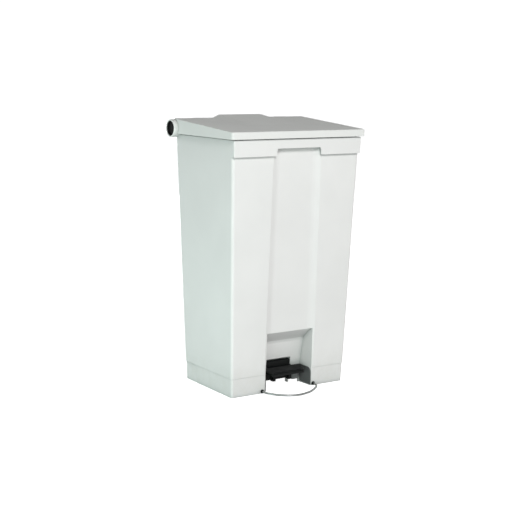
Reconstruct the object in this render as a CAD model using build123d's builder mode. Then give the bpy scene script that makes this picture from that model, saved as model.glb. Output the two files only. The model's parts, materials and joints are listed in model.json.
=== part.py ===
# Step-on pedal bin: tapered moulded container on a mechanism base, sloping lid
# that turns about a rear handle tube, and a toe pedal that lifts the lid
# through a lever under the floor and a vertical rod in a channel at the back.
#
# Frame: millimetres. Z up, floor at z = 0. -Y is the front (pedal side),
# X runs across the bin. The origin is the middle of the bounding box on the
# floor.
from build123d import *
import math
import os

os.makedirs("parts", exist_ok=True)

# ------------------------------------------------------------ dimensions ---
# Container walls. Each outer face is a plane given by its place at z = 0
# and its lean per mm of height.
HALF_W0, HALF_W_LEAN = 205.1, 0.02921      # side faces
Y_FRONT0, Y_FRONT_LEAN = -117.0, -0.04066  # front face
Y_REAR0, Y_REAR_LEAN = 157.0, 0.03763      # rear face
WALL = 4.0
Z_BASE_TOP = 59.0          # seam between the base and the container
Z_DECK_TOP = 68.0          # top of the base's deck = underside of the floor
FLOOR_T = 4.0
Z_RIM = 769.0              # top of the rim ledge
BASE_INSET = 1.3           # the base stands in from the container by this
SKIRT_T = 3.5
Z_SKIRT = 1.0              # lower edge of the base skirt

# Raised bar across the front under the lid, with a notch in its middle
BAND_Z0 = 720.0
BAND_PROUD = 8.0
NOTCH_TOP_Z, NOTCH_TOP_HALF, NOTCH_LOW_HALF = 742.0, 76.0, 80.0

# Centre panel, a shallow channel down the front
PANEL_HALF_TOP, PANEL_HALF_LOW = 85.0, 91.0
PANEL_WALL = 20.0          # width of the sloping side of the channel
PANEL_DEPTH = 9.0

# Toe alcove
ALCOVE_Z = 184.0           # upper front edge
ALCOVE_BACK_Z = 146.0      # where the slanting ceiling meets the back wall
ALCOVE_BACK_TOP_Y = -71.0
ALCOVE_BACK_LOW_Y = -57.0
NECK_HALF = 44.6           # pocket for the neck of the pedal
NECK_TOP_Z = 87.0
NECK_BACK_Y = -36.0

# Channel in the rear wall for the lift rod
CHAN_HALF = 30.0
CHAN_Y = 126.0
Z_REAR_RIM = 755.0

# Lid
LID_HALF = 237.5
LID_Y0, LID_Y1 = -162.8, 178.8
LID_Z0 = 771.4
LID_ZF, LID_ZR = 792.9, 818.1              # top surface at the front, rear
LID_T = 3.0
HUMP_Y0 = -26.0
HUMP_Z = 827.0
HUMP_BASE, HUMP_TOP = 98.0, 76.5

# Handle tube, which is also the hinge
TUBE_Y, TUBE_Z = 177.0, 788.0
TUBE_R, TUBE_RI = 27.0, 23.0
TUBE_HALF = 251.0
KNUCKLE_X, KNUCKLE_W = 150.0, 36.0
KNUCKLE_R = 30.2
SADDLE_X, SADDLE_W = 196.0, 34.0

# Linkage: crank on the lid, rod at the back, lever under the floor
LID_OPEN = 70.0
CRANK_R = 42.0
PIVOT_Y, PIVOT_Z = -20.0, 36.0
ROD_Y = 138.8
ROD_R = 4.0
PIN_R = 3.0
crank_y = TUBE_Y - CRANK_R * math.cos(math.radians(LID_OPEN / 2))
crank_z = TUBE_Z - CRANK_R * math.sin(math.radians(LID_OPEN / 2))
ROD_TRAVEL = 2 * CRANK_R * math.sin(math.radians(LID_OPEN / 2))
foot_z = PIVOT_Z - ROD_TRAVEL / 2          # pin at the foot of the rod
lever_tilt = math.degrees(math.atan2(PIVOT_Z - foot_z, ROD_Y - PIVOT_Y))
PEDAL_TURN = 2 * lever_tilt
AXLE_R = 4.0

# Wheels
WHEEL_R, WHEEL_W = 24.0, 22.0
WHEEL_X, WHEEL_Y, WHEEL_Z = 175.0, 136.0, 25.0

# Wire bow
BOW_R = 3.2
BOW_X = {-1: -96.0, 1: 92.5}
BOW_Z = 8.0
BOW_FRONT = -204.0

print("rod travel", round(ROD_TRAVEL, 3), "pedal turn", round(PEDAL_TURN, 3))
print("crank pin", round(crank_y, 2), round(crank_z, 2), "foot pin z", round(foot_z, 2))


def half_w(z):
    return HALF_W0 + HALF_W_LEAN * z


def y_front(z):
    return Y_FRONT0 + Y_FRONT_LEAN * z


def y_rear(z):
    return Y_REAR0 + Y_REAR_LEAN * z


def lid_top(y):
    return LID_ZF + (LID_ZR - LID_ZF) * (y - LID_Y0) / (LID_Y1 - LID_Y0)


def hump_top(y):
    z0 = lid_top(HUMP_Y0)
    return z0 + (HUMP_Z - z0) * (y - HUMP_Y0) / (LID_Y1 - HUMP_Y0)


# ------------------------------------------------------- shaping solids ---
# The panel channel. Its section slopes in from both edges and blends into a
# flat bottom.
with BuildPart() as panel_tool:
    for z, half in ((-6.0, PANEL_HALF_LOW), (NOTCH_TOP_Z, PANEL_HALF_TOP)):
        with BuildSketch(Plane.XY.offset(z)) as panel_sec:
            yf = y_front(z)
            with BuildLine():
                Polyline((-half, yf - 4), (-half, yf), (-half + PANEL_WALL, yf + PANEL_DEPTH),
                         (half - PANEL_WALL, yf + PANEL_DEPTH), (half, yf), (half, yf - 4), close=True)
            make_face()
            inner = panel_sec.vertices().group_by(Axis.Y)[-1]
            fillet(inner, radius=34)
    loft()

# The same channel grown by the wall, for the inside of the container
with BuildPart() as panel_inner:
    for z, half in ((-6.0, PANEL_HALF_LOW), (NOTCH_TOP_Z + 8, PANEL_HALF_TOP)):
        with BuildSketch(Plane.XY.offset(z)):
            yf = y_front(z)
            with BuildLine():
                Polyline((-half - 4, yf - 4), (-half - 4, yf + WALL), (-half + PANEL_WALL - 2, yf + PANEL_DEPTH + WALL),
                         (half - PANEL_WALL + 2, yf + PANEL_DEPTH + WALL), (half + 4, yf + WALL), (half + 4, yf - 4), close=True)
            make_face()
    loft()

# The alcove: flared sides, slanting ceiling that rounds into a leaning back
# wall, and a pocket in the middle for the pedal's neck.
with BuildPart() as alcove_tool:
    for y, top, low in ((-200.0, 84.0, 90.8), (-36.0, 82.5, 80.0)):
        with BuildSketch(Plane.XZ.offset(-y)):
            with BuildLine():
                Polyline((-low, -6), (-top, 200), (top, 200), (low, -6), close=True)
            make_face()
    loft()
    with BuildSketch(Plane.YZ):
        with BuildLine():
            Polyline((-210, -6), (-210, ALCOVE_Z), (-116.5, ALCOVE_Z), (-81.0, 154.4), (-74.6, 147.6), (-71.3, 139.0), (-68.6, 125.0),
                     (-62.0, 92), (ALCOVE_BACK_LOW_Y, 62), (ALCOVE_BACK_LOW_Y, -6), close=True)
        make_face()
    extrude(amount=120, both=True, mode=Mode.INTERSECT)
    with BuildSketch(Plane.XY.offset(-6)):
        with Locations((0, (NECK_BACK_Y - 75) / 2)):
            Rectangle(2 * NECK_HALF, NECK_BACK_Y + 75)
    extrude(amount=NECK_TOP_Z + 6)

with BuildPart() as alcove_inner:
    for y, top, low in ((-200.0, 88.2, 95.0), (-30.0, 86.6, 84.2)):
        with BuildSketch(Plane.XZ.offset(-y)):
            with BuildLine():
                Polyline((-low, -10), (-top, 210), (top, 210), (low, -10), close=True)
            make_face()
    loft()
    with BuildSketch(Plane.YZ):
        with BuildLine():
            Polyline((-210, -10), (-210, ALCOVE_Z + 5), (-115.5, ALCOVE_Z + 5), (-78.6, 158.4), (-71.2, 150.4), (-67.4, 141.0), (-64.6, 126.0),
                     (-58.0, 93), (ALCOVE_BACK_LOW_Y + 4, 63), (ALCOVE_BACK_LOW_Y + 4, -10), close=True)
        make_face()
    extrude(amount=120, both=True, mode=Mode.INTERSECT)
    with BuildSketch(Plane.XY.offset(-10)):
        with Locations((0, (NECK_BACK_Y + 4 - 75) / 2)):
            Rectangle(2 * NECK_HALF + 8, NECK_BACK_Y + 4 + 75)
    extrude(amount=NECK_TOP_Z + 14)

# Waste space inside the container
with BuildPart() as cavity:
    with BuildSketch(Plane.XY.offset(700)):
        with Locations((0, (y_front(Z_RIM) + y_rear(Z_RIM)) / 2)):
            RectangleRounded(2 * (half_w(Z_RIM) - 10), y_rear(Z_RIM) - y_front(Z_RIM) - 20, 9)
    extrude(amount=100)
    for z in (Z_DECK_TOP + FLOOR_T, Z_RIM - 14):
        with BuildSketch(Plane.XY.offset(z)):
            with Locations((0, (y_front(z) + y_rear(z)) / 2)):
                RectangleRounded(2 * (half_w(z) - WALL), y_rear(z) - y_front(z) - 2 * WALL, 11)
    loft()
    add(panel_inner.part, mode=Mode.SUBTRACT)
    add(alcove_inner.part, mode=Mode.SUBTRACT)
    with BuildSketch(Plane.XY.offset(40)):
        with Locations((0, CHAN_Y - WALL + 50)):
            Rectangle(2 * (CHAN_HALF + WALL), 100)
    extrude(amount=760, mode=Mode.SUBTRACT)

# ------------------------------------------------------------ container ---
with BuildPart() as body_shell:
    for z in (Z_BASE_TOP, Z_RIM):
        with BuildSketch(Plane.XY.offset(z)):
            with Locations((0, (y_front(z) + y_rear(z)) / 2)):
                RectangleRounded(2 * half_w(z), y_rear(z) - y_front(z), 8.0 + 2 * z / 760)
    loft()
    # front bar, flush with the sides
    for z in (BAND_Z0, Z_RIM):
        with BuildSketch(Plane.XY.offset(z)):
            with Locations((0, y_front(z) - BAND_PROUD + 19)):
                RectangleRounded(2 * half_w(z), 38, 3)
    loft()
    # thin upstand inside the rim
    z = Z_RIM
    with BuildSketch(Plane.XY.offset(z - 6)):
        with Locations((0, (y_front(z) + y_rear(z)) / 2)):
            RectangleRounded(2 * (half_w(z) - 6.5), y_rear(z) - y_front(z) - 13, 11)
    extrude(amount=13.5)
    with BuildSketch(Plane.XZ.offset(147.2)):
        with BuildLine():
            Polyline((-NOTCH_LOW_HALF, BAND_Z0 - 6), (-NOTCH_LOW_HALF, BAND_Z0), (-NOTCH_TOP_HALF - 2, NOTCH_TOP_Z - 6), (-NOTCH_TOP_HALF, NOTCH_TOP_Z),
                     (NOTCH_TOP_HALF, NOTCH_TOP_Z), (NOTCH_TOP_HALF + 2, NOTCH_TOP_Z - 6), (NOTCH_LOW_HALF, BAND_Z0), (NOTCH_LOW_HALF, BAND_Z0 - 6), close=True)
        make_face()
    extrude(amount=30, mode=Mode.SUBTRACT)
    add(panel_tool.part, mode=Mode.SUBTRACT)
    add(cavity.part, mode=Mode.SUBTRACT)
    add(alcove_tool.part, mode=Mode.SUBTRACT)
    # rod channel, open at the back and at both ends
    with BuildSketch(Plane.XY.offset(40)):
        with Locations((0, CHAN_Y + 50)):
            Rectangle(2 * CHAN_HALF, 100)
    extrude(amount=760, mode=Mode.SUBTRACT)
    # recess under the floor that takes the deck of the base
    with BuildSketch(Plane.XY.offset(Z_BASE_TOP)):
        with Locations((0, (y_front(60) + y_rear(60)) / 2)):
            RectangleRounded(2 * (half_w(60) - 7), y_rear(60) - y_front(60) - 14, 9)
    extrude(amount=Z_DECK_TOP - Z_BASE_TOP, mode=Mode.SUBTRACT)
    # pads in the floor for the base screws
    with BuildSketch(Plane.XY.offset(Z_DECK_TOP)):
        with Locations((-150, -40), (150, -40), (-120, 110), (120, 110)):
            Circle(10)
    extrude(amount=10)
    # rear edge drops below the tube
    with BuildSketch(Plane.XY.offset(Z_REAR_RIM)):
        with Locations((0, 150 + 40)):
            Rectangle(2 * (half_w(760) - WALL - 1), 80)
    extrude(amount=60, mode=Mode.SUBTRACT)
    with BuildSketch(Plane.XY.offset(Z_REAR_RIM)):
        with Locations((0, CHAN_Y + 30)):
            Rectangle(2 * (CHAN_HALF + WALL + 2), 80)
    extrude(amount=60, mode=Mode.SUBTRACT)
    # saddles that carry the tube
    for s in (-1, 1):
        with BuildSketch(Plane.YZ.offset(s * SADDLE_X - SADDLE_W / 2)):
            with BuildLine():
                Polyline((y_rear(700) - 3, 700), (158, 745), (156, 774), (y_rear(760) - 0.5, 774), (y_rear(750) - 1, 748), close=True)
            make_face()
        extrude(amount=SADDLE_W)
    # seat of the tube, cut through saddles and side walls
    with BuildSketch(Plane.YZ.offset(-260)):
        with Locations((TUBE_Y, TUBE_Z)):
            Circle(TUBE_R + 0.02)
    extrude(amount=520, mode=Mode.SUBTRACT)
    with BuildSketch(Plane.YZ.offset(-half_w(760) + WALL + 2.6)):
        with Locations((TUBE_Y, TUBE_Z)):
            Circle(TUBE_R + 6)
    extrude(amount=8, mode=Mode.SUBTRACT)
    with BuildSketch(Plane.YZ.offset(half_w(760) - WALL - 10.6)):
        with Locations((TUBE_Y, TUBE_Z)):
            Circle(TUBE_R + 6)
    extrude(amount=8, mode=Mode.SUBTRACT)
    # screw holes in the pads and saddles, with a pocket for each head
    with Locations(*[Location((x, TUBE_Y - 5, 728.0)) for x in (-SADDLE_X, SADDLE_X)]):
        Cylinder(5.0, 21.0, align=(Align.CENTER, Align.CENTER, Align.MIN), mode=Mode.SUBTRACT)
        Cylinder(2.25, 40.0, align=(Align.CENTER, Align.CENTER, Align.MIN), mode=Mode.SUBTRACT)
    with Locations(*[Location((x, CHAN_Y - 3.0, z), (90, 0, 0)) for x in (-20, 20) for z in (230.0, 610.0)]):
        Cylinder(2.25, 8, mode=Mode.SUBTRACT)
    with Locations(*[Location((x, y, Z_DECK_TOP - 1)) for x, y in ((-150, -40), (150, -40), (-120, 110), (120, 110))]):
        Cylinder(2.25, 9.5, align=(Align.CENTER, Align.CENTER, Align.MIN), mode=Mode.SUBTRACT)
body_shell.part.label = "body_shell"
export_step(body_shell.part, "parts/body_shell.step")

# ----------------------------------------------------------------- base ---
with BuildPart() as base_void:
    for z in (-4.0, Z_BASE_TOP):
        with BuildSketch(Plane.XY.offset(z)):
            with Locations((0, (y_front(z) + y_rear(z)) / 2)):
                RectangleRounded(2 * (half_w(z) - BASE_INSET - SKIRT_T), y_rear(z) - y_front(z) - 2 * (BASE_INSET + SKIRT_T), 9)
    loft()
    with BuildSketch(Plane.XY.offset(Z_BASE_TOP)):
        with Locations((0, (y_front(60) + y_rear(60)) / 2)):
            RectangleRounded(2 * (half_w(60) - 11), y_rear(60) - y_front(60) - 22, 6)
    extrude(amount=Z_DECK_TOP - Z_BASE_TOP - 4)
    add(panel_inner.part, mode=Mode.SUBTRACT)
    add(alcove_inner.part, mode=Mode.SUBTRACT)

with BuildPart() as base_frame:
    for z in (Z_SKIRT, Z_BASE_TOP):
        with BuildSketch(Plane.XY.offset(z)):
            with Locations((0, (y_front(z) + y_rear(z)) / 2)):
                RectangleRounded(2 * (half_w(z) - BASE_INSET), y_rear(z) - y_front(z) - 2 * BASE_INSET, 7.5)
    loft()
    with BuildSketch(Plane.XY.offset(Z_BASE_TOP)):
        with Locations((0, (y_front(60) + y_rear(60)) / 2)):
            RectangleRounded(2 * (half_w(60) - 7.2), y_rear(60) - y_front(60) - 14.4, 9)
    extrude(amount=Z_DECK_TOP - Z_BASE_TOP)
    add(panel_tool.part, mode=Mode.SUBTRACT)
    add(base_void.part, mode=Mode.SUBTRACT)
    add(alcove_tool.part, mode=Mode.SUBTRACT)
    # foot columns
    with BuildSketch(Plane.XY.offset(4.5)):
        with Locations((-172, -88), (172, -88), (-172, 84), (172, 84)):
            Circle(13)
    extrude(amount=Z_DECK_TOP - 4.5)
    # ribs that carry the pedal axle
    for s in (-1, 1):
        with BuildSketch(Plane.YZ.offset(s * 58 - 4)):
            with BuildLine():
                Polyline((-54, 60), (-40, 24), (-8, 24), (30, 60), (30, Z_DECK_TOP), (-54, Z_DECK_TOP), close=True)
            make_face()
            with Locations((PIVOT_Y, PIVOT_Z)):
                Circle(12)
        extrude(amount=8)
    # wheel wells: a rib on each side of each wheel, tied to the rear wall
    for x in (-192.5, -161, 157, 188.5):
        with BuildSketch(Plane.YZ.offset(x)):
            with BuildLine():
                Polyline((96, Z_DECK_TOP - 2), (118, 14), (y_rear(10) - 3, 14), (y_rear(50) - 3, 55), (150.5, 58.5), (146, Z_DECK_TOP - 2), close=True)
            make_face()
        extrude(amount=4)
    # wheel slots through the rear wall, open downwards
    for s in (-1, 1):
        with BuildSketch(Plane.XZ.offset(-164)):
            with Locations((s * WHEEL_X, 25)):
                Rectangle(WHEEL_W + 5, 56)
        extrude(amount=14, mode=Mode.SUBTRACT)
    # blocks that hold the ends of the wire bow
    for s in (-1, 1):
        with BuildSketch(Plane.XY.offset(1.5)):
            with Locations((BOW_X[s] + s * 1.5, -100)):
                Rectangle(13, 27)
        extrude(amount=17)
    # room in the deck for the lever and the foot of the rod
    with BuildSketch(Plane.XY.offset(0)):
        with Locations((0, 103)):
            Rectangle(34, 96)
    extrude(amount=80, mode=Mode.SUBTRACT)
    # way for the neck of the pedal from its pocket to the axle
    with BuildSketch(Plane.XY.offset(-5)):
        with Locations((0, -40)):
            Rectangle(2 * NECK_HALF, 30)
    extrude(amount=Z_DECK_TOP - 4 + 5, mode=Mode.SUBTRACT)
    # the back wall of the alcove stops short of the floor
    with BuildSketch(Plane.XY.offset(-5)):
        with Locations((0, -54)):
            Rectangle(153.2, 18)
    extrude(amount=31, mode=Mode.SUBTRACT)
    # shallow panel over each wheel well on the outside of the skirt
    for s in (-1, 1):
        with BuildSketch(Plane.YZ.offset(s * 204.6)) as well_panel:
            with Locations((122, 22)):
                Rectangle(72, 70)
            fillet(well_panel.vertices(), radius=11)
        extrude(amount=1.7 * s, mode=Mode.SUBTRACT)
        with BuildSketch(Plane.YZ.offset(s * 203.0)) as well_panel2:
            with Locations((122, 22)):
                Rectangle(72, 70)
            fillet(well_panel2.vertices(), radius=11)
        extrude(amount=4 * s, mode=Mode.SUBTRACT)
    # holes: axle bushes, wheel axles, bow ends, base screws
    with Locations(Location((0, PIVOT_Y, PIVOT_Z), (0, 90, 0))):
        Cylinder(6.5, 140, mode=Mode.SUBTRACT)
    with Locations(*[Location((s * WHEEL_X, WHEEL_Y, WHEEL_Z), (0, 90, 0)) for s in (-1, 1)]):
        Cylinder(AXLE_R + 0.02, 40, mode=Mode.SUBTRACT)
    with Locations(*[Location((BOW_X[s], -104, BOW_Z), (90, 0, 0)) for s in (-1, 1)]):
        Cylinder(BOW_R + 0.02, 36, mode=Mode.SUBTRACT)
    with Locations(*[Location((BOW_X[s], -117, BOW_Z), (90, 0, 0)) for s in (-1, 1)]):
        Cylinder(5.0, 12, mode=Mode.SUBTRACT)
    with Locations(*[Location((x, y, 50)) for x, y in ((-150, -40), (150, -40), (-120, 110), (120, 110))]):
        Cylinder(2.6, 30, align=(Align.CENTER, Align.CENTER, Align.MIN), mode=Mode.SUBTRACT)
base_frame.part.label = "base_frame"
export_step(base_frame.part, "parts/base_frame.step")

with BuildPart() as foot_pads:
    with BuildSketch(Plane.XY):
        with Locations((-172, -88), (172, -88), (-172, 84), (172, 84)):
            Circle(14)
    extrude(amount=4.5)
    chamfer(foot_pads.edges().group_by(Axis.Z)[0], length=1.2)
foot_pads.part.label = "foot_pads"
export_step(foot_pads.part, "parts/foot_pads.step")

# Pan-head screws, head on the deck's underside, shank into the floor pads
with BuildPart() as base_screws:
    with Locations(*[Location((x, y, Z_DECK_TOP - 4)) for x, y in ((-150, -40), (150, -40), (-120, 110), (120, 110))]):
        Cylinder(5.0, 3.0, align=(Align.CENTER, Align.CENTER, Align.MAX))
        Cylinder(2.2, 12.0, align=(Align.CENTER, Align.CENTER, Align.MIN))
    heads = base_screws.edges().group_by(Axis.Z)[0]
    fillet(heads, radius=1.3)
    with Locations(*[Location((x, y, Z_DECK_TOP - 7)) for x, y in ((-150, -40), (150, -40), (-120, 110), (120, 110))]):
        Box(5.2, 1.1, 3.0, mode=Mode.SUBTRACT)
        Box(1.1, 5.2, 3.0, mode=Mode.SUBTRACT)
base_screws.part.label = "base_screws"
export_step(base_screws.part, "parts/base_screws.step")

# ------------------------------------------------------------------ lid ---
with BuildPart() as lid_shell:
    with BuildSketch(Plane.YZ.offset(-LID_HALF)):
        with BuildLine():
            Polyline((LID_Y0, LID_Z0), (LID_Y0, LID_ZF), (LID_Y1, LID_ZR), (LID_Y1, LID_Z0), close=True)
        make_face()
    extrude(amount=2 * LID_HALF)
    front_corners = lid_shell.edges().filter_by(Axis.Z).group_by(Axis.Y)[0]
    fillet(front_corners, radius=8)
    rear_corners = lid_shell.edges().filter_by(Axis.Z).group_by(Axis.Y)[-1]
    fillet(rear_corners, radius=4)
    top_face = lid_shell.faces().sort_by(Axis.Z)[-1]
    fillet(top_face.edges(), radius=3.0)
    # raised wedge at the back
    for y, z in ((LID_Y1, HUMP_Z), (HUMP_Y0, lid_top(HUMP_Y0) + 0.05)):
        with BuildSketch(Plane.XZ.offset(-y)):
            with BuildLine():
                Polyline((-HUMP_BASE - 1, lid_top(y) - 2.5), (-HUMP_BASE, lid_top(y)), (-HUMP_TOP, z), (HUMP_TOP, z), (HUMP_BASE, lid_top(y)), (HUMP_BASE + 1, lid_top(y) - 2.5), close=True)
            make_face()
    loft()
    # hollow underside
    with BuildSketch(Plane.YZ.offset(-LID_HALF + LID_T)):
        with BuildLine():
            Polyline((LID_Y0 + LID_T, 760), (LID_Y0 + LID_T, lid_top(LID_Y0 + LID_T) - LID_T), (LID_Y1 + 4, lid_top(LID_Y1 + 4) - LID_T), (LID_Y1 + 4, 760), close=True)
        make_face()
    extrude(amount=2 * (LID_HALF - LID_T), mode=Mode.SUBTRACT)
    for y, z in ((LID_Y1 - 3, hump_top(LID_Y1 - 3) - 3), (HUMP_Y0 + 40, hump_top(HUMP_Y0 + 40) - 3)):
        with BuildSketch(Plane.XZ.offset(-y)):
            with BuildLine():
                Polyline((-HUMP_BASE + 2, lid_top(y) - 4), (-HUMP_BASE + 4, lid_top(y) - 3), (-HUMP_TOP + 2, z), (HUMP_TOP - 2, z), (HUMP_BASE - 4, lid_top(y) - 3), (HUMP_BASE - 2, lid_top(y) - 4), close=True)
            make_face()
    loft(mode=Mode.SUBTRACT)
    # ribs under the lid
    for x in (-160.0, -110.0, 110.0, 160.0):
        with BuildSketch(Plane.YZ.offset(x - 1.2)):
            with BuildLine():
                Polyline((LID_Y0 + 2, lid_top(LID_Y0 + 2) - 2), (LID_Y0 + 2, lid_top(LID_Y0 + 2) - 9), (120, lid_top(120) - 9), (140, lid_top(140) - 2), close=True)
            make_face()
        extrude(amount=2.4)
    for y in (-80.0, 20.0):
        with BuildSketch(Plane.XZ.offset(-y - 1.2)):
            with Locations((0, lid_top(y) - 5.4)):
                Rectangle(2 * LID_HALF - 4, 6)
        extrude(amount=2.4)
    # the rear edge is cut back round the tube
    with BuildSketch(Plane.YZ.offset(-LID_HALF - 5)):
        with Locations((TUBE_Y, TUBE_Z)):
            Circle(TUBE_R + 0.6)
    extrude(amount=2 * LID_HALF + 10, mode=Mode.SUBTRACT)
    # hinge knuckles that clip round the tube
    for s in (-1, 1):
        with BuildSketch(Plane.YZ.offset(s * KNUCKLE_X - KNUCKLE_W / 2)) as knuckle:
            with Locations((TUBE_Y, TUBE_Z)):
                Circle(KNUCKLE_R)
                Circle(TUBE_R + 0.08, mode=Mode.SUBTRACT)
            with BuildLine():
                Polyline((TUBE_Y, TUBE_Z), (TUBE_Y - 60, TUBE_Z - 21.8), (TUBE_Y - 60, TUBE_Z - 80), (TUBE_Y + 60, TUBE_Z - 80), (TUBE_Y + 60, TUBE_Z - 21.8), close=True)
            make_face(mode=Mode.SUBTRACT)
        extrude(amount=KNUCKLE_W)
lid_shell.part.label = "lid_shell"
export_step(lid_shell.part, "parts/lid_shell.step")

# Rubber studs under the lid that land on the rim
with BuildPart() as lid_bumpers:
    with Locations(Location((-200, -149, Z_RIM + 0.3)), Location((200, -149, Z_RIM + 0.3))):
        Cylinder(5.0, lid_top(-149) - LID_T - Z_RIM - 0.3 + 0.2, align=(Align.CENTER, Align.CENTER, Align.MIN))
    with Locations(Location((-224.3, 96, Z_RIM + 0.3)), Location((224.3, 96, Z_RIM + 0.3))):
        Cylinder(2.6, lid_top(96) - LID_T - Z_RIM - 0.3 + 0.2, align=(Align.CENTER, Align.CENTER, Align.MIN))
    with BuildSketch(Plane.YZ.offset(-260)):
        with BuildLine():
            Polyline((-200, lid_top(-200) - LID_T), (200, lid_top(200) - LID_T), (200, 900), (-200, 900), close=True)
        make_face()
    extrude(amount=520, mode=Mode.SUBTRACT)
lid_bumpers.part.label = "lid_bumpers"
export_step(lid_bumpers.part, "parts/lid_bumpers.step")

# Crank under the lid: a flange fixed below the wedge and an ear that curves
# round the front of the tube down to the pin
with BuildPart() as lid_crank:
    with BuildSketch(Plane.YZ.offset(-4)) as ear:
        with Locations((TUBE_Y, TUBE_Z)):
            Circle(CRANK_R + 6)
            Circle(TUBE_R + 1.6, mode=Mode.SUBTRACT)
        a = math.radians(LID_OPEN / 2)
        with BuildLine():
            Polyline((TUBE_Y, TUBE_Z), (TUBE_Y - 80 * math.cos(a), TUBE_Z - 80 * math.sin(a)), (TUBE_Y - 80, TUBE_Z - 90),
                     (TUBE_Y + 90, TUBE_Z - 90), (TUBE_Y + 90, TUBE_Z + 90), (150.5, TUBE_Z + 90), (150.5, TUBE_Z), close=True)
        make_face(mode=Mode.SUBTRACT)
        with BuildLine():
            Polyline((104, hump_top(104) - 6.5), (133, TUBE_Z + 2), (150.5, TUBE_Z + 16), (150.5, hump_top(150.5) - 6.0), close=True)
        make_face()
        with Locations((crank_y, crank_z)):
            Circle(6.5)
        with BuildLine():
            Polyline((60, hump_top(60) - 3.4), (190, hump_top(190) - 3.4), (190, 900), (60, 900), close=True)
        make_face(mode=Mode.SUBTRACT)
    extrude(amount=8)
    with BuildSketch(Plane.YZ.offset(-21)):
        with BuildLine():
            Polyline((96, hump_top(96) - 6.4), (96, hump_top(96) - 3.3), (151, hump_top(151) - 3.3), (151, hump_top(151) - 6.4), close=True)
        make_face()
    extrude(amount=42)
    with Locations(Location((0, crank_y, crank_z), (0, 90, 0))):
        Cylinder(PIN_R + 0.01, 30, mode=Mode.SUBTRACT)
lid_crank.part.label = "lid_crank"
export_step(lid_crank.part, "parts/lid_crank.step")

with BuildPart() as crank_pin:
    with Locations(Location((0, crank_y, crank_z), (0, 90, 0))):
        Cylinder(PIN_R, 23)
    chamfer(crank_pin.edges().filter_by(GeomType.CIRCLE), length=0.6)
crank_pin.part.label = "crank_pin"
export_step(crank_pin.part, "parts/crank_pin.step")

with BuildPart() as crank_screws:
    slope = (hump_top(100) - hump_top(0)) / 100
    for y in (108.0, 138.0):
        screw_plane = Plane(origin=(0, y, hump_top(y) - 6.45), x_dir=(1, 0, 0), z_dir=(0, slope, -1))
        with BuildSketch(screw_plane):
            with Locations((-14, 0), (14, 0)):
                Circle(3.6)
        extrude(amount=2.3, taper=12)
crank_screws.part.label = "crank_screws"
export_step(crank_screws.part, "parts/crank_screws.step")

# ---------------------------------------------------------- handle tube ---
with BuildPart() as handle_tube:
    with BuildSketch(Plane.YZ.offset(-TUBE_HALF)):
        with Locations((TUBE_Y, TUBE_Z)):
            Circle(TUBE_R)
            Circle(TUBE_RI, mode=Mode.SUBTRACT)
    extrude(amount=2 * TUBE_HALF)
    rims = handle_tube.edges().filter_by(GeomType.CIRCLE).filter_by(lambda e: e.radius > 25)
    fillet(rims, radius=1.6)
    with Locations(*[Location((x, TUBE_Y - 5, 750.0)) for x in (-SADDLE_X, SADDLE_X)]):
        Cylinder(2.25, 18.0, align=(Align.CENTER, Align.CENTER, Align.MIN), mode=Mode.SUBTRACT)
handle_tube.part.label = "handle_tube"
export_step(handle_tube.part, "parts/handle_tube.step")

for side, s in (("left", -1), ("right", 1)):
    with BuildPart() as plug:
        with BuildSketch(Plane.YZ.offset(s * (TUBE_HALF - 1.2))):
            with Locations((TUBE_Y, TUBE_Z)):
                Circle(TUBE_RI - 0.05)
        extrude(amount=-22 * s)
        with BuildSketch(Plane.YZ.offset(s * (TUBE_HALF - 1.2))):
            with Locations((TUBE_Y, TUBE_Z)):
                Circle(TUBE_RI - 3.2)
        extrude(amount=-4 * s, mode=Mode.SUBTRACT)
        with BuildSketch(Plane.YZ.offset(s * (TUBE_HALF - 1.2 - 22))):
            with Locations((TUBE_Y, TUBE_Z)):
                Circle(TUBE_RI - 3.2)
        extrude(amount=14 * s, mode=Mode.SUBTRACT)
    plug.part.label = "tube_plug_" + side
    export_step(plug.part, "parts/tube_plug_" + side + ".step")

# Screws up through the saddles into the tube
with BuildPart() as tube_screws:
    for x in (-SADDLE_X, SADDLE_X):
        with BuildSketch(Plane.XY.offset(746.4)):
            with Locations((x, TUBE_Y - 5)):
                Circle(4.2)
        extrude(amount=2.6)
        with BuildSketch(Plane.XY.offset(748.9)):
            with Locations((x, TUBE_Y - 5)):
                Circle(2.2)
        extrude(amount=17.5)
tube_screws.part.label = "tube_screws"
export_step(tube_screws.part, "parts/tube_screws.step")

# ------------------------------------------------------------- lift rod ---
with BuildPart() as lift_rod:
    with BuildSketch(Plane.XY.offset(foot_z + 16)):
        with Locations((0, ROD_Y)):
            Circle(ROD_R)
    extrude(amount=744.5 - foot_z - 16)
    chamfer(lift_rod.edges().filter_by(GeomType.CIRCLE), length=0.8)
lift_rod.part.label = "lift_rod"
export_step(lift_rod.part, "parts/lift_rod.step")

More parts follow.
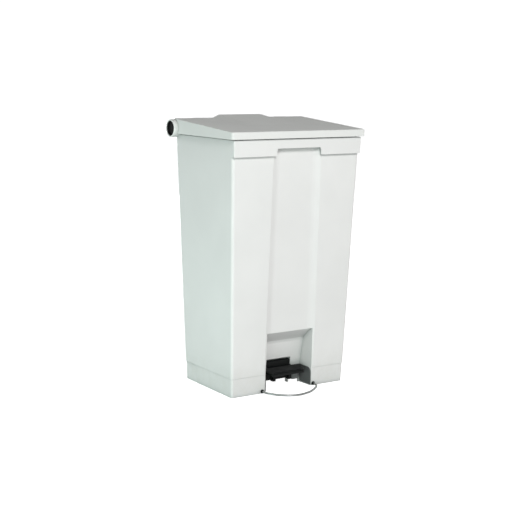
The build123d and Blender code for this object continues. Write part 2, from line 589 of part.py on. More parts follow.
# Yoke on top of the rod: two cheeks, each with a level slot for the pin
slot_y0 = TUBE_Y - CRANK_R - PIN_R - 0.6
slot_y1 = crank_y + PIN_R + 0.6
with BuildPart() as rod_head:
    with BuildSketch(Plane.XY.offset(733.0)) as head_block:
        with Locations((0, (slot_y0 + slot_y1) / 2)):
            Rectangle(21.6, slot_y1 - slot_y0 + 5.8)
        fillet(head_block.vertices(), radius=3)
    extrude(amount=crank_z + 8.4 - 733.0)
    with BuildSketch(Plane.XY.offset(755.0)):
        with Locations((0, ROD_Y)):
            Rectangle(9.2, 60)
    extrude(amount=60, mode=Mode.SUBTRACT)
    with BuildSketch(Plane.YZ.offset(-20)) as slot_sk:
        with Locations(((slot_y0 + slot_y1) / 2, crank_z)):
            RectangleRounded(slot_y1 - slot_y0, 2 * (PIN_R + 0.85), PIN_R + 0.8)
    extrude(amount=40, mode=Mode.SUBTRACT)
    with Locations(Location((0, ROD_Y, 732.0))):
        Cylinder(ROD_R + 0.01, 12.6, align=(Align.CENTER, Align.CENTER, Align.MIN), mode=Mode.SUBTRACT)
rod_head.part.label = "rod_head"
export_step(rod_head.part, "parts/rod_head.step")

# Clevis at the foot of the rod, astride the lever
with BuildPart() as rod_foot:
    with BuildSketch(Plane.XY.offset(foot_z - 7.5)) as foot_block:
        with Locations((0, ROD_Y)):
            Rectangle(19.0, 15.0)
        fillet(foot_block.vertices(), radius=2.5)
    extrude(amount=41.5)
    with BuildSketch(Plane.XY.offset(foot_z - 8)):
        with Locations((0, ROD_Y)):
            Rectangle(7.0, 40)
    extrude(amount=22.5, mode=Mode.SUBTRACT)
    with Locations(Location((0, ROD_Y, foot_z), (0, 90, 0))):
        Cylinder(PIN_R + 0.01, 40, mode=Mode.SUBTRACT)
    with Locations(Location((0, ROD_Y, foot_z + 16))):
        Cylinder(ROD_R + 0.01, 30, align=(Align.CENTER, Align.CENTER, Align.MIN), mode=Mode.SUBTRACT)
rod_foot.part.label = "rod_foot"
export_step(rod_foot.part, "parts/rod_foot.step")

with BuildPart() as rod_foot_pin:
    with Locations(Location((0, ROD_Y, foot_z), (0, 90, 0))):
        Cylinder(PIN_R, 21)
    chamfer(rod_foot_pin.edges().filter_by(GeomType.CIRCLE), length=0.6)
rod_foot_pin.part.label = "rod_foot_pin"
export_step(rod_foot_pin.part, "parts/rod_foot_pin.step")

# Guides in the channel: a plate on its inner wall and an eye round the rod
GUIDE_Z = (230.0, 610.0)
for name, zg in (("rod_guide_lower", GUIDE_Z[0]), ("rod_guide_upper", GUIDE_Z[1])):
    with BuildPart() as guide:
        with BuildSketch(Plane.XZ.offset(-CHAN_Y)) as plate:
            with Locations((0, zg)):
                Rectangle(56, 26)
            fillet(plate.vertices(), radius=4)
        extrude(amount=-4)
        with BuildSketch(Plane.XY.offset(zg - 9)):
            with Locations((0, ROD_Y)):
                Circle(9)
            with Locations((0, (CHAN_Y + ROD_Y) / 2)):
                Rectangle(14, ROD_Y - CHAN_Y)
        extrude(amount=18)
        with Locations(Location((0, ROD_Y, zg))):
            Cylinder(ROD_R + 0.07, 30, mode=Mode.SUBTRACT)
        with Locations(*[Location((x, CHAN_Y + 2, zg), (90, 0, 0)) for x in (-20, 20)]):
            Cylinder(2.3, 8, mode=Mode.SUBTRACT)
    guide.part.label = name
    export_step(guide.part, "parts/" + name + ".step")

with BuildPart() as guide_screws:
    for zg in GUIDE_Z:
        for x in (-20, 20):
            with BuildSketch(Plane.XZ.offset(-(CHAN_Y + 4))):
                with Locations((x, zg)):
                    Circle(4.2)
            extrude(amount=-2.6)
            with BuildSketch(Plane.XZ.offset(-(CHAN_Y - 2.5))):
                with Locations((x, zg)):
                    Circle(2.2)
            extrude(amount=-7)
    fillet(guide_screws.faces().filter_by(Axis.Y).filter_by(lambda f: f.normal_at().Y > 0).filter_by(lambda f: f.area > 30).edges(), radius=1.1)
    for zg in GUIDE_Z:
        for x in (-20, 20):
            with Locations(Location((x, CHAN_Y + 6.2, zg))):
                Box(4.6, 1.4, 1.0, mode=Mode.SUBTRACT)
                Box(1.0, 1.4, 4.6, mode=Mode.SUBTRACT)
guide_screws.part.label = "guide_screws"
export_step(guide_screws.part, "parts/guide_screws.step")

# ---------------------------------------------------------------- pedal ---
# Moulded pedal: tread with a front apron, a neck with a raised back block
# that stands in the pocket of the alcove, and a hub on the axle.
TREAD_HALF, TREAD_FRONT_HALF = 75.5, 57.0
with BuildPart() as pedal:
    # tread, its front corners cut back
    with BuildSketch(Plane.XY.offset(40)) as tread_plan:
        with BuildLine():
            Polyline((-TREAD_FRONT_HALF, -118), (TREAD_FRONT_HALF, -118), (TREAD_HALF, -82), (TREAD_HALF, -64.5), (-TREAD_HALF, -64.5), (-TREAD_HALF, -82), close=True)
        make_face()
        fillet(tread_plan.vertices().group_by(Axis.Y)[0], radius=7)
        fillet(tread_plan.vertices().filter_by(lambda v: abs(v.Y + 82) < 0.5), radius=10)
    extrude(amount=30)
    with BuildSketch(Plane.YZ) as tread_sec:
        with BuildLine():
            Polyline((-115.6, 46.5), (-118, 49.5), (-117.4, 53.2), (-114.5, 55.8), (-70, 62), (-66, 61.4), (-64.5, 59.5), (-64.5, 44), (-69, 43), (-71.5, 54), (-110, 49.8), (-112.4, 46.5), close=True)
        make_face()
    extrude(amount=90, both=True, mode=Mode.INTERSECT)
    # ribs under the tread
    for x in (-70.0, -24.0, 21.5, 67.5):
        with BuildSketch(Plane.YZ.offset(x)):
            with BuildLine():
                Polyline((-84, 47.5), (-84, 55.5), (-68, 58), (-68, 44), (-74, 44), close=True)
            make_face()
        extrude(amount=2.5)
    # skirt behind the tread
    with BuildSketch(Plane.XZ.offset(75)) as skirt:
        with BuildLine():
            Polyline((-70, 55), (-70, 32), (-64, 26.5), (29.5, 26.5), (29.5, 55), close=True)
        make_face()
    extrude(amount=3)
    # lugs in front of the skirt, the right one beside the rubber stop
    for x in (-36.5, 21.0):
        with BuildSketch(Plane.YZ.offset(x)) as lug:
            with BuildLine():
                Polyline((-88, 54), (-88, 25), (-85.5, 22.5), (-72, 22.5), (-69, 30), (-69, 56), close=True)
            make_face()
        extrude(amount=9)
    # neck and raised block
    with BuildSketch(Plane.YZ.offset(-43.2)):
        with BuildLine():
            Polyline((-72, 44), (-72, 61), (-59.5, 64), (-58.8, 77.6), (-57.6, 79.2), (-46.5, 79.2), (-44, 78), (-38, 64), (-12, 46), (-10, 36), (-14, 28), (-26, 28), (-44, 36), close=True)
        make_face()
        with Locations((PIVOT_Y, PIVOT_Z)):
            Circle(10.5)
    extrude(amount=86.4)
    # hollow between the neck's ribs, from below and behind
    for x0, x1 in ((-35.0, -8.0), (8.0, 35.0)):
        with BuildSketch(Plane.YZ.offset(x0)):
            with BuildLine():
                Polyline((-66, 20), (-66, 55), (-54, 60), (-54, 75), (-48, 75), (-42, 61), (-32.5, 50), (-32.5, 20), close=True)
            make_face()
        extrude(amount=x1 - x0, mode=Mode.SUBTRACT)
    # slot for the lever bar and its axle bore
    with BuildSketch(Plane.XY.offset(0)):
        with Locations((0, -15)):
            Rectangle(5.06, 74)
    extrude(amount=49, mode=Mode.SUBTRACT)
    with Locations(Location((0, PIVOT_Y, PIVOT_Z), (0, 90, 0))):
        Cylinder(AXLE_R + 0.06, 200, mode=Mode.SUBTRACT)
    with Locations(Location((0, -46, 41), (0, 90, 0))):
        Cylinder(2.52, 30, mode=Mode.SUBTRACT)
pedal.part.label = "pedal"
export_step(pedal.part, "parts/pedal.step")

# Ribbed rubber tread pad, let into the top of the tread
with BuildPart() as tread_pad:
    pad_plane = Plane(origin=(0, -92.25, 55.8 + (62 - 55.8) * (22.25 / 44.5) + 0.02), x_dir=(1, 0, 0), z_dir=(0, -6.2, 44.5))
    with BuildSketch(pad_plane) as pad_sk:
        with BuildLine():
            Polyline((-54, -18.5), (54, -18.5), (69, 9), (69, 18.5), (-69, 18.5), (-69, 9), close=True)
        make_face()
        fillet(pad_sk.vertices(), radius=3)
    extrude(amount=1.4)
    with BuildSketch(pad_plane.offset(1.4)):
        for k in range(7):
            v = -15.6 + 5.2 * k
            with Locations((0, v)):
                Rectangle(2 * (min(69.0, 54.0 + (v + 18.5) * 15 / 27.5) - 4.0), 2.0)
    extrude(amount=1.0)
tread_pad.part.label = "tread_pad"
export_step(tread_pad.part, "parts/tread_pad.step")

# Rubber stop under the right of the tread, next to the floor at full travel
with BuildPart() as pedal_stop:
    with BuildSketch(Plane.XY.offset(20.5)):
        with Locations((46.0, -81)):
            SlotOverall(30.0, 16)
    extrude(amount=36)
    fillet(pedal_stop.edges().group_by(Axis.Z)[0], radius=4.5)
    with BuildSketch(Plane.YZ.offset(0)):
        with BuildLine():
            Polyline((-130, 49.8 - 20 * 4.2 / 38.5), (-60, 54 + 11.5 * 4.2 / 38.5), (-60, 90), (-130, 90), close=True)
        make_face()
    extrude(amount=80, both=True, mode=Mode.SUBTRACT)
pedal_stop.part.label = "pedal_stop"
export_step(pedal_stop.part, "parts/pedal_stop.step")

# Steel lever bar from the pedal back to the rod
tilt = math.radians(lever_tilt)
lever_plane = Plane(origin=(-2.5, PIVOT_Y, PIVOT_Z), x_dir=(0, math.cos(tilt), -math.sin(tilt)), z_dir=(1, 0, 0))
lever_len = (ROD_Y - PIVOT_Y) / math.cos(tilt)
with BuildPart() as lever_bar:
    with BuildSketch(lever_plane) as lever_sk:
        with BuildLine():
            Polyline((-31, -6.5), (-31, 6.5), (-10, 9), (20, 9), (lever_len - 4, 6.6), (lever_len - 4, -6.6), (20, -9), (-10, -9), close=True)
        make_face()
        with Locations((lever_len - 0.9, 0)):
            SlotOverall(23, 13.2)
        with Locations((lever_len - 0.9, 0)):
            SlotOverall(2 * PIN_R + 5.6, 2 * PIN_R + 0.8, mode=Mode.SUBTRACT)
    extrude(amount=5.0)
    with Locations(Location((0, PIVOT_Y, PIVOT_Z), (0, 90, 0))):
        Cylinder(AXLE_R + 0.06, 30, mode=Mode.SUBTRACT)
    with Locations(Location((0, -46, 41), (0, 90, 0))):
        Cylinder(2.52, 30, mode=Mode.SUBTRACT)
lever_bar.part.label = "lever_bar"
export_step(lever_bar.part, "parts/lever_bar.step")

with BuildPart() as lever_rivet:
    with Locations(Location((0, -46, 41), (0, 90, 0))):
        Cylinder(2.5, 16)
lever_rivet.part.label = "lever_rivet"
export_step(lever_rivet.part, "parts/lever_rivet.step")

with BuildPart() as pedal_axle:
    with Locations(Location((0, PIVOT_Y, PIVOT_Z), (0, 90, 0))):
        Cylinder(AXLE_R, 140)
    chamfer(pedal_axle.edges().filter_by(GeomType.CIRCLE), length=0.8)
pedal_axle.part.label = "pedal_axle"
export_step(pedal_axle.part, "parts/pedal_axle.step")

with BuildPart() as axle_bushes:
    for s in (-1, 1):
        with BuildSketch(Plane.YZ.offset(s * 53.9)):
            with Locations((PIVOT_Y, PIVOT_Z)):
                Circle(6.45)
                Circle(AXLE_R + 0.02, mode=Mode.SUBTRACT)
        extrude(amount=8.1 * s)
        with BuildSketch(Plane.YZ.offset(s * 51.6)):
            with Locations((PIVOT_Y, PIVOT_Z)):
                Circle(9.5)
                Circle(AXLE_R + 0.02, mode=Mode.SUBTRACT)
        extrude(amount=2.35 * s)
axle_bushes.part.label = "axle_bushes"
export_step(axle_bushes.part, "parts/axle_bushes.step")

with BuildPart() as axle_clips:
    for s in (-1, 1):
        with BuildSketch(Plane.YZ.offset(s * 64.5)):
            with Locations((PIVOT_Y, PIVOT_Z)):
                Circle(7.5)
                Circle(AXLE_R + 0.02, mode=Mode.SUBTRACT)
            with Locations((PIVOT_Y, PIVOT_Z - 6)):
                Rectangle(5, 7, mode=Mode.SUBTRACT)
        extrude(amount=1.2 * s)
axle_clips.part.label = "axle_clips"
export_step(axle_clips.part, "parts/axle_clips.step")

# Side plates lining the alcove within the base
for side, s in (("left", -1), ("right", 1)):
    x_front, x_back = 0, 0
    with BuildPart() as side_plate:
        # just inside the alcove's side, front and back
        xf_, xb_ = 85.5, 82.6
        wall_dir = Vector(s * (xb_ - xf_), 56.0, 0).normalized()
        normal = Vector(-s * 56.0, s * s * (xb_ - xf_), 0).normalized()
        plate_plane = Plane(origin=(s * xf_ - s * 1.1, -120.0, 0), x_dir=wall_dir, z_dir=normal)
        up = plate_plane.y_dir.Z
        with BuildSketch(plate_plane) as plate_sk:
            with BuildLine():
                Polyline((4.5, 6 * up), (4.5, 58.3 * up), (60.5, 58.3 * up), (60.5, 27 * up), (58, 6 * up), close=True)
            make_face()
            corner = plate_sk.vertices().filter_by(lambda v: abs(v.X - 4.5) < 0.1 and v.Y * up > 50)
            fillet(corner, radius=18)
        extrude(amount=2.2)
    side_plate.part.label = "side_plate_" + side
    export_step(side_plate.part, "parts/side_plate_" + side + ".step")

# --------------------------------------------------------------- wheels ---
for side, s in (("left", -1), ("right", 1)):
    with BuildPart() as wheel:
        with BuildSketch(Plane.XZ):
            with BuildLine():
                Polyline((AXLE_R + 0.07, -WHEEL_W / 2), (9, -WHEEL_W / 2), (11, -WHEEL_W / 2 + 4), (18, -WHEEL_W / 2 + 4), (19, -WHEEL_W / 2 + 0.5),
                         (22.5, -WHEEL_W / 2 + 0.5), (WHEEL_R, -WHEEL_W / 2 + 3), (WHEEL_R, WHEEL_W / 2 - 3), (22.5, WHEEL_W / 2 - 0.5),
                         (19, WHEEL_W / 2 - 0.5), (18, WHEEL_W / 2 - 4), (11, WHEEL_W / 2 - 4), (9, WHEEL_W / 2), (AXLE_R + 0.07, WHEEL_W / 2), close=True)
            make_face()
        revolve(axis=Axis.Z)
    wheel_at = Location((s * WHEEL_X, WHEEL_Y, WHEEL_Z), (0, 90, 0)) * wheel.part
    wheel_at.label = "wheel_" + side
    export_step(wheel_at, "parts/wheel_" + side + ".step")

with BuildPart() as wheel_axles:
    with Locations(*[Location((s * WHEEL_X, WHEEL_Y, WHEEL_Z), (0, 90, 0)) for s in (-1, 1)]):
        Cylinder(AXLE_R, 39)
    chamfer(wheel_axles.edges().filter_by(GeomType.CIRCLE), length=0.7)
wheel_axles.part.label = "wheel_axles"
export_step(wheel_axles.part, "parts/wheel_axles.step")

# ------------------------------------------------------------- wire bow ---
with BuildPart() as wire_bow:
    with BuildLine(Plane.XY.offset(BOW_Z)) as bow_path:
        FilletPolyline((BOW_X[-1], -88), (BOW_X[-1], -140), (-80, -171), (-55, -193), (-28, BOW_FRONT), (-8, BOW_FRONT), (26, -194.5), (54, -176), (80, -154), (BOW_X[1], -134), (BOW_X[1], -88),
                       radius=[45, 60, 60, 45, 60, 60, 60, 60, 40])
    with BuildSketch(Plane(origin=(BOW_X[-1], -88, BOW_Z), z_dir=(0, -1, 0))):
        Circle(BOW_R)
    sweep()
wire_bow.part.label = "wire_bow"
export_step(wire_bow.part, "parts/wire_bow.step")

with BuildPart() as bow_grommets:
    for s in (-1, 1):
        with BuildSketch(Plane.XZ.offset(112.0)):
            with Locations((BOW_X[s], BOW_Z)):
                Circle(4.6)
                Circle(BOW_R + 0.02, mode=Mode.SUBTRACT)
        extrude(amount=5)
        with BuildSketch(Plane.XZ.offset(116.4)):
            with Locations((BOW_X[s], BOW_Z)):
                Circle(5.6)
                Circle(BOW_R + 0.02, mode=Mode.SUBTRACT)
        extrude(amount=5.5)
    fillet(bow_grommets.edges().group_by(Axis.Y)[0].filter_by(GeomType.CIRCLE).filter_by(lambda e: e.radius > 5), radius=2)
bow_grommets.part.label = "bow_grommets"
export_step(bow_grommets.part, "parts/bow_grommets.step")
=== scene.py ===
"""Looks of the step-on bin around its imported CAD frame. Metres, +Z up, -Y is the front."""
import json
import math

import bmesh
import bpy
from mathutils import Matrix, Vector

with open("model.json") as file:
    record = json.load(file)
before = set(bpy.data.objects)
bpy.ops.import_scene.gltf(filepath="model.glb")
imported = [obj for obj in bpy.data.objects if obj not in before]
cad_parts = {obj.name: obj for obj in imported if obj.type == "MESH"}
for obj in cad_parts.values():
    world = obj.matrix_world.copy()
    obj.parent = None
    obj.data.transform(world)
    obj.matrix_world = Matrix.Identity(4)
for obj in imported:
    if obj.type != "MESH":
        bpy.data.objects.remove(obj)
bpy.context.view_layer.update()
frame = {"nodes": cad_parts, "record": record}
nodes = frame["nodes"]
scene = bpy.context.scene
link = scene.collection.objects.link


# ---------------------------------------------------------------- camera ---
def make_camera():
    yaw, down, roll = math.radians(32.9966), math.radians(9.1533), math.radians(0.6767)
    d = Vector((math.sin(yaw) * math.cos(down), math.cos(yaw) * math.cos(down), -math.sin(down)))
    r = Vector((math.cos(yaw), -math.sin(yaw), 0.0))
    u = r.cross(d)
    r2 = r * math.cos(roll) + u * math.sin(roll)
    u2 = -r * math.sin(roll) + u * math.cos(roll)
    data = bpy.data.cameras.new("camera")
    data.sensor_width = 36.0
    data.lens = 83.80
    data.clip_end = 60.0
    cam = bpy.data.objects.new("camera", data)
    m = Matrix((r2, u2, -d)).transposed().to_4x4()
    m.translation = Vector((-2.01103, -3.01749, 0.98510))
    cam.matrix_world = m
    link(cam)
    scene.camera = cam


make_camera()


# ------------------------------------------------------------- materials ---
class Net:
    """A short way to write node trees."""

    def __init__(self, name):
        self.m = bpy.data.materials.new(name)
        self.m.use_nodes = True
        self.t = self.m.node_tree
        self.t.nodes.clear()
        self.out = self.add("ShaderNodeOutputMaterial")
        self.bsdf = self.add("ShaderNodeBsdfPrincipled")
        self.wire(self.bsdf.outputs[0], self.out.inputs["Surface"])
        self.co = self.add("ShaderNodeTexCoord").outputs["Object"]

    def add(self, kind, **values):
        n = self.t.nodes.new(kind)
        for k, v in values.items():
            if hasattr(n, k):
                setattr(n, k, v)
            else:
                n.inputs[k].default_value = v
        return n

    def wire(self, a, b):
        self.t.links.new(a, b)

    def stretch(self, scale):
        n = self.add("ShaderNodeMapping")
        n.inputs["Scale"].default_value = scale
        self.wire(self.co, n.inputs["Vector"])
        return n.outputs[0]

    def noise(self, scale, detail=2.0, rough=0.5, co=None, distortion=0.0):
        n = self.add("ShaderNodeTexNoise")
        n.inputs["Scale"].default_value = scale
        n.inputs["Detail"].default_value = detail
        n.inputs["Roughness"].default_value = rough
        n.inputs["Distortion"].default_value = distortion
        self.wire(co or self.co, n.inputs["Vector"])
        return n.outputs["Fac"]

    def voronoi(self, scale, co=None, feature="F1", randomness=1.0):
        n = self.add("ShaderNodeTexVoronoi")
        n.feature = feature
        n.inputs["Scale"].default_value = scale
        n.inputs["Randomness"].default_value = randomness
        self.wire(co or self.co, n.inputs["Vector"])
        return n.outputs["Distance"]

    def remap(self, value, a, b, c=0.0, d=1.0, smooth=False):
        n = self.add("ShaderNodeMapRange")
        if smooth:
            n.interpolation_type = "SMOOTHSTEP"
        n.clamp = True
        for i, v in zip(("From Min", "From Max", "To Min", "To Max"), (a, b, c, d)):
            n.inputs[i].default_value = v
        self.wire(value, n.inputs["Value"])
        return n.outputs[0]

    def math(self, op, a, b=None):
        n = self.add("ShaderNodeMath")
        n.operation = op
        for i, v in enumerate((a, b)):
            if v is None:
                continue
            if isinstance(v, (int, float)):
                n.inputs[i].default_value = v
            else:
                self.wire(v, n.inputs[i])
        return n.outputs[0]

    def mix(self, fac, a, b):
        n = self.add("ShaderNodeMix")
        n.data_type = "RGBA"
        for sock, v in ((n.inputs[0], fac), (n.inputs[6], a), (n.inputs[7], b)):
            if isinstance(v, (int, float)):
                sock.default_value = v
            elif isinstance(v, (tuple, list)):
                sock.default_value = (*v, 1.0) if len(v) == 3 else v
            else:
                self.wire(v, sock)
        return n.outputs[2]

    def axis(self, which):
        n = self.add("ShaderNodeSeparateXYZ")
        self.wire(self.co, n.inputs[0])
        return n.outputs[which]

    def bump(self, height, strength, distance, normal=None):
        n = self.add("ShaderNodeBump")
        n.inputs["Strength"].default_value = strength
        n.inputs["Distance"].default_value = distance
        self.wire(height, n.inputs["Height"])
        if normal is not None:
            self.wire(normal, n.inputs["Normal"])
        return n.outputs[0]

    def rounded(self, radius):
        """The surface's direction with its edges softened."""
        n = self.add("ShaderNodeBevel")
        n.samples = 6
        n.inputs["Radius"].default_value = radius
        return n.outputs[0]

    def edges(self, normal, lo=0.02, hi=0.22):
        """0 on flat ground, 1 along edges and corners."""
        n = self.add("ShaderNodeVectorMath")
        n.operation = "DOT_PRODUCT"
        self.wire(normal, n.inputs[0])
        self.wire(self.add("ShaderNodeNewGeometry").outputs["Normal"], n.inputs[1])
        return self.remap(n.outputs["Value"], 1.0 - lo, 1.0 - hi, 0.0, 1.0, True)

    def occlusion_mask(self, reach, lo=0.35, hi=0.9):
        """0 in the open, 1 in grooves, seams and inner corners, read from ambient occlusion; it masks painted
        shade.
        """
        n = self.add("ShaderNodeAmbientOcclusion")
        n.samples = 8
        n.inputs["Distance"].default_value = reach
        return self.remap(n.outputs["AO"], lo, hi, 1.0, 0.0, True)

    def set(self, **values):
        for k, v in values.items():
            sock = self.bsdf.inputs[k.replace("_", " ")]
            if isinstance(v, (int, float)):
                sock.default_value = v
            elif isinstance(v, (tuple, list)):
                sock.default_value = (*v, 1.0) if len(v) == 3 else v
            else:
                self.wire(v, sock)


def srgb(r, g, b):
    f = lambda c: c / 12.92 if c <= 0.04045 else ((c + 0.055) / 1.055) ** 2.4
    return (f(r / 255), f(g / 255), f(b / 255))


def moulded(name, colour, rough=0.5, grain=1100.0, grain_strength=0.12, spec=0.35, vary=0.02, scuffs=0.25, grime_z=None, tint=(0.80, 0.78, 0.72), soft=0.0016, rub=None):
    """Moulded plastic: fine spark-eroded grain, faint flow mottling, a few
    rubbed marks, a little dust towards the floor, and painted shade in
    grooves, seams, inner corners and the alcove."""
    n = Net(name)
    dark = tuple(c * (1 - vary) for c in colour)
    light = tuple(min(1.0, c * (1 + vary)) for c in colour)
    broad = n.noise(5.0, 3.0, 0.55)
    col = n.mix(n.remap(broad, 0.35, 0.65), dark, light)
    # rubbed marks: long thin streaks in two directions, only in patches
    s1 = n.noise(1.0, 2.0, 0.6, n.stretch((14.0, 14.0, 260.0)))
    s2 = n.noise(1.0, 2.0, 0.6, n.stretch((330.0, 330.0, 12.0)))
    patch = n.remap(n.noise(9.0, 2.0, 0.5), 0.52, 0.68)
    streak = n.math("MULTIPLY", n.math("MAXIMUM", n.remap(s1, 0.66, 0.74), n.remap(s2, 0.68, 0.76)), patch)
    streak = n.math("MULTIPLY", streak, scuffs)
    col = n.mix(n.math("MULTIPLY", streak, 0.22), col, tuple(c * 0.72 for c in colour))
    if grime_z:
        low, high, amount = grime_z
        near = n.remap(n.axis(2), low, high, 1.0, 0.0, True)
        dust = n.math("MULTIPLY", near, n.remap(n.noise(38.0, 4.0, 0.65), 0.35, 0.75))
        col = n.mix(n.math("MULTIPLY", dust, amount), col, tuple(c * t for c, t in zip(colour, tint)))
    # painted shade: a broad greenish ambient-occlusion darkening for the alcove and other recesses, then a
    # tight one for grooves, seams and inner corners
    broad_shade = n.occlusion_mask(0.16, 0.30, 0.95)
    col = n.mix(n.math("MULTIPLY", broad_shade, 0.48), col, tuple(c * t for c, t in zip(colour, (0.66, 0.69, 0.68))))
    # painted shade in creases, seams and inner corners, broken up by noise
    crease_shade = n.math("MULTIPLY", n.occlusion_mask(0.022), n.remap(n.noise(46.0, 3.0, 0.6), 0.3, 0.7, 0.7, 1.0))
    col = n.mix(n.math("MULTIPLY", crease_shade, 0.8), col, tuple(c * t for c, t in zip(colour, (0.50, 0.54, 0.53))))
    # handling wear along the edges
    soften = n.rounded(soft)
    worn = n.math("MULTIPLY", n.edges(soften), n.remap(n.noise(60.0, 4.0, 0.7), 0.42, 0.62, 0.15, 1.0))
    col = n.mix(n.math("MULTIPLY", worn, 0.30), col, rub or tuple(c * 0.80 for c in colour))
    r = n.remap(n.noise(26.0, 3.0, 0.6), 0.3, 0.7, rough - 0.05, rough + 0.05)
    r = n.math("ADD", r, n.math("MULTIPLY", streak, 0.12))
    r = n.math("SUBTRACT", r, n.math("MULTIPLY", worn, 0.08))
    g = n.noise(grain, 2.0, 0.6)
    peel = n.noise(95.0, 2.0, 0.5)
    nor = n.bump(peel, 0.10, 0.0006, soften)
    nor = n.bump(g, grain_strength, 0.00018, nor)
    n.set(Base_Color=col, Roughness=r, Normal=nor)
    n.bsdf.inputs["Specular IOR Level"].default_value = spec
    return n.m


def rubber(name, colour, rough=0.72, grain=900.0, dust=0.35):
    n = Net(name)
    cloud = n.noise(24.0, 4.0, 0.65)
    col = n.mix(n.remap(cloud, 0.4, 0.7, 0.0, dust), colour, tuple(c * 0.55 + 0.075 for c in colour))
    r = n.remap(n.noise(40.0, 3.0), 0.3, 0.7, rough - 0.08, rough + 0.08)
    soften = n.rounded(0.0012)
    worn = n.math("MULTIPLY", n.edges(soften), n.remap(n.noise(70.0, 4.0, 0.7), 0.42, 0.62, 0.1, 1.0))
    col = n.mix(n.math("MULTIPLY", worn, 0.35), col, tuple(min(1.0, c * 1.5 + 0.03) for c in colour))
    nor = n.bump(n.noise(grain, 3.0, 0.65), 0.25, 0.00022, soften)
    n.set(Base_Color=col, Roughness=r, Normal=nor)
    n.bsdf.inputs["Specular IOR Level"].default_value = 0.3
    return n.m


def steel(name, colour, rough=0.34, along=(40.0, 900.0, 900.0), stain=0.3):
    n = Net(name)
    lines = n.noise(1.0, 3.0, 0.6, n.stretch(along))
    cloud = n.noise(30.0, 4.0, 0.6)
    flecks = n.voronoi(180.0)
    col = n.mix(n.remap(cloud, 0.38, 0.68, 0.0, stain), colour, tuple(c * 0.62 for c in colour))
    col = n.mix(n.remap(flecks, 0.0, 0.8, 0.0, 0.18), col, tuple(min(1.0, c * 1.25) for c in colour))
    r = n.remap(lines, 0.3, 0.7, rough - 0.08, rough + 0.1)
    nor = n.bump(lines, 0.12, 0.0001, n.rounded(0.0005))
    n.set(Base_Color=col, Roughness=r, Normal=nor)
    n.bsdf.inputs["Metallic"].default_value = 1.0
    return n.m


WHITE = srgb(236, 236, 234)
mats = {
    "white_shell": moulded("white_shell", WHITE, 0.48, grime_z=(0.0, 0.16, 0.35)),
    "white_lid": moulded("white_lid", srgb(235, 236, 233), 0.46, grain=1000.0, scuffs=0.5),
    "white_tube": moulded("white_tube", srgb(238, 239, 236), 0.26, grain=700.0, grain_strength=0.04, spec=0.5, scuffs=0.8),
    "black_plastic": moulded("black_plastic", srgb(12, 15, 14), 0.46, grain=900.0, grain_strength=0.3, spec=0.22, vary=0.18, scuffs=0.9, rub=srgb(58, 59, 58)),
    "grey_plastic": moulded("grey_plastic", srgb(104, 107, 106), 0.5, vary=0.06, scuffs=0.8),
    "rubber_black": rubber("rubber_black", srgb(19, 20, 20), dust=0.2),
    "rubber_grey": rubber("rubber_grey", srgb(112, 115, 114)),
    "steel_wire": steel("steel_wire", srgb(176, 179, 178), 0.38, stain=0.35),
    "steel_zinc": steel("steel_zinc", srgb(186, 188, 187), 0.32),
    "wheel_grey": rubber("wheel_grey", srgb(120, 122, 121), 0.6),
    "guide_white": moulded("guide_white", srgb(226, 226, 222), 0.4),
}
slot_of = {p["node"]: p["material_slot"] for p in frame["record"]["subparts"]}


def dress(obj, mat):
    obj.data.materials.clear()
    obj.data.materials.append(mat)


for name, obj in nodes.items():
    dress(obj, mats[slot_of[name]])


# ----------------------------------------------------------------- stage ---
FLOOR_GLOW = 0.95
SKY_LOW, SKY_TOP, SKY_UNDER, SKY_LEFT, SKY_BACK = 1.03, 0.08, 0.50, 0.14, 0.55


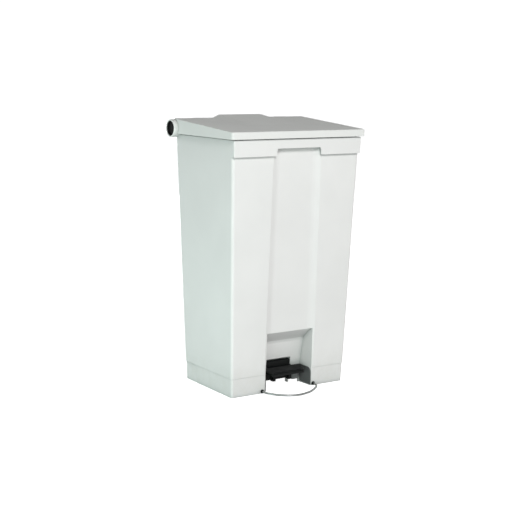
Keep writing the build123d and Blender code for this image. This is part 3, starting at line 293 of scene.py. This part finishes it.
def make_stage():
    me = bpy.data.meshes.new("floor")
    bm = bmesh.new()
    bmesh.ops.create_grid(bm, x_segments=24, y_segments=24, size=60.0)
    bm.to_mesh(me)
    bm.free()
    floor = bpy.data.objects.new("floor", me)
    link(floor)
    # the floor is white to look at and doesn't light the object from below
    floor.visible_diffuse = False
    floor.visible_glossy = False
    n = Net("floor")
    n.set(Base_Color=(0.85, 0.85, 0.85), Roughness=0.9)
    n.bsdf.inputs["Specular IOR Level"].default_value = 0.0
    n.set(Emission_Color=(1.0, 1.0, 1.0), Emission_Strength=FLOOR_GLOW)
    dress(floor, n.m)

    world = bpy.data.worlds.new("studio")
    scene.world = world
    world.use_nodes = True
    t = world.node_tree
    t.nodes.clear()
    out = t.nodes.new("ShaderNodeOutputWorld")
    bg = t.nodes.new("ShaderNodeBackground")
    t.links.new(bg.outputs[0], out.inputs[0])
    co = t.nodes.new("ShaderNodeTexCoord")
    sep = t.nodes.new("ShaderNodeSeparateXYZ")
    t.links.new(co.outputs["Generated"], sep.inputs[0])

    def ramp(src, a, b, c, d):
        m = t.nodes.new("ShaderNodeMapRange")
        m.interpolation_type = "SMOOTHSTEP"
        for k, v in zip(("From Min", "From Max", "To Min", "To Max"), (a, b, c, d)):
            m.inputs[k].default_value = v
        t.links.new(src, m.inputs["Value"])
        return m.outputs[0]

    def op(kind, a, b):
        m = t.nodes.new("ShaderNodeMath")
        m.operation = kind
        for k, v in enumerate((a, b)):
            if isinstance(v, (int, float)):
                m.inputs[k].default_value = v
            else:
                t.links.new(v, m.inputs[k])
        return m.outputs[0]

    x, y, z = sep.outputs[0], sep.outputs[1], sep.outputs[2]
    height = op("MULTIPLY", ramp(z, 0.10, 0.70, SKY_LOW, SKY_TOP), ramp(z, -0.30, -0.02, SKY_UNDER, 1.0))
    sideways = op("MULTIPLY", ramp(x, -0.9, -0.1, SKY_LEFT, 1.0), ramp(y, -0.2, 0.6, 1.0, SKY_BACK))
    strength = op("MULTIPLY", height, sideways)
    # a thin white band at the horizon, behind the object in every view
    band = op("MULTIPLY", ramp(z, 0.075, 0.13, 1.04, 0.0), ramp(z, -0.08, -0.04, 0.0, 1.0))
    t.links.new(op("MAXIMUM", strength, band), bg.inputs["Strength"])
    tint = t.nodes.new("ShaderNodeMix")
    tint.data_type = "RGBA"
    t.links.new(op("MULTIPLY", ramp(x, -0.75, -0.15, 1.0, 0.0), ramp(z, -0.02, 0.13, 0.0, 1.0)), tint.inputs[0])
    tint.inputs[6].default_value = (1.0, 1.0, 1.0, 1.0)
    tint.inputs[7].default_value = (0.84, 1.0, 0.96, 1.0)
    t.links.new(tint.outputs[2], bg.inputs["Color"])


def area(name, at, aim, size, power, colour=(1, 1, 1)):
    data = bpy.data.lights.new(name, "AREA")
    data.shape = "RECTANGLE"
    data.size, data.size_y = size
    data.energy = power
    data.color = colour
    o = bpy.data.objects.new(name, data)
    o.location = at
    o.rotation_euler = (Vector(aim) - Vector(at)).to_track_quat("-Z", "Y").to_euler()
    o.visible_camera = False
    link(o)
    return o


make_stage()
area("fill_back", (1.0, 5.2, 0.80), (0.0, 0.2, 0.45), (2.4, 1.2), 130.0)
area("key", (-1.60, -4.60, 3.95), (0.0, 0.0, 0.38), (1.3, 1.3), 176.0)
area("fill_low", (-1.5, 0.0, 0.10), (0.0, 0.0, 0.12), (1.4, 0.4), 11.5, (0.84, 1.0, 0.96))
area("fill_front", (-2.6, -2.1, 0.18), (0.0, -0.1, 0.12), (1.0, 0.3), 15.0, (0.88, 1.0, 0.97))
scene.view_settings.view_transform = "Standard"
